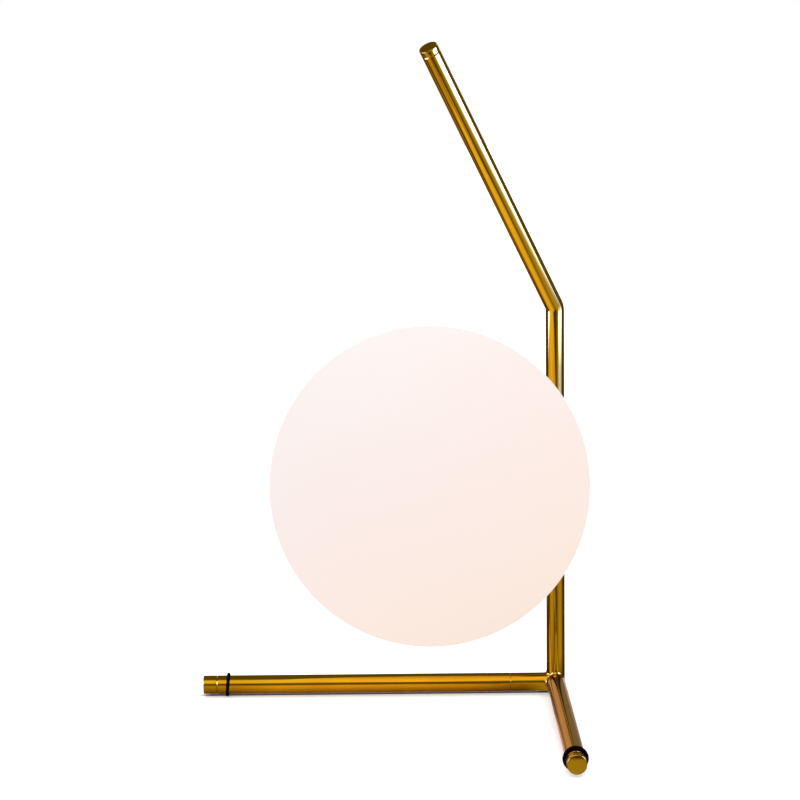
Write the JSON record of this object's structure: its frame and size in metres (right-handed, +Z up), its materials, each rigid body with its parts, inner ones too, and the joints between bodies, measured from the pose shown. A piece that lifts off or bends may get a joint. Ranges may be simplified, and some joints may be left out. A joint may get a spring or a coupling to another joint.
{
  "type": "globe table lamp",
  "caption": "Table lamp with an opal glass globe twist-locked to a bent brass tube, which leans over the globe and stands on tube legs with rubber foot rings.",
  "frame": {"origin": "on the table under the post's axis, at the middle of the corner foot's underside", "axes": "+Z up along the post; one leg runs along -X, the other along -Y; the globe is out along the diagonal between them"},
  "size_m": [0.2478, 0.2478, 0.4257],
  "materials": {
    "brass": "satin polished, drawn along the tube",
    "black_rubber": "matte",
    "black_plastic": "matte",
    "opal_glass": "satin opal, lets light through but no view",
    "silicone": "matte",
    "aluminium": "turned",
    "zinc_steel": "zinc plated",
    "white_ceramic": "unglazed",
    "contact_bronze": "sprung sheet",
    "lead_insulation": "smooth",
    "bulb_plastic": "moulded",
    "bulb_frost": "frosted",
    "pin_nickel": "nickel plated"
  },
  "bodies": {
    "frame": {"corner_joint": "brass", "upright_post": "brass", "top_cap": "brass", "left_leg": "brass", "left_leg_cap": "brass", "left_foot_ring": "black_rubber", "leg_stud": "zinc_steel", "leg_insert": "zinc_steel", "front_leg": "brass", "front_leg_cap": "brass", "front_foot_ring": "black_rubber", "corner_foot": "black_rubber", "cable_bush": "black_plastic", "lead_wires": "lead_insulation", "holder_stem": "brass", "holder_cup": "brass", "cup_gasket": "silicone", "bayonet_socket": "aluminium", "holder_bracket": "zinc_steel", "lock_washer": "zinc_steel", "lock_nut": "zinc_steel", "lampholder": "white_ceramic", "contact_clips": "contact_bronze", "lampholder_screws": "zinc_steel"},
    "globe": {"globe_glass": "opal_glass", "globe_collar": "aluminium"},
    "bulb": {"bulb_base": "bulb_plastic", "bulb_dome": "bulb_frost", "bulb_pins": "pin_nickel"}
  },
  "joints": [
    {"name": "globe_twist", "type": "hinge", "parent": "frame", "child": "globe", "pos_m": [-0.08273, -0.08273, 0.1505], "axis": [-0.7071, -0.7071, 0], "range_deg": [0, 35]},
    {"name": "bulb_pull", "type": "slide", "parent": "frame", "child": "bulb", "axis": [-0.7071, -0.7071, 0], "range_m": [0, 0.014]}
  ]
}
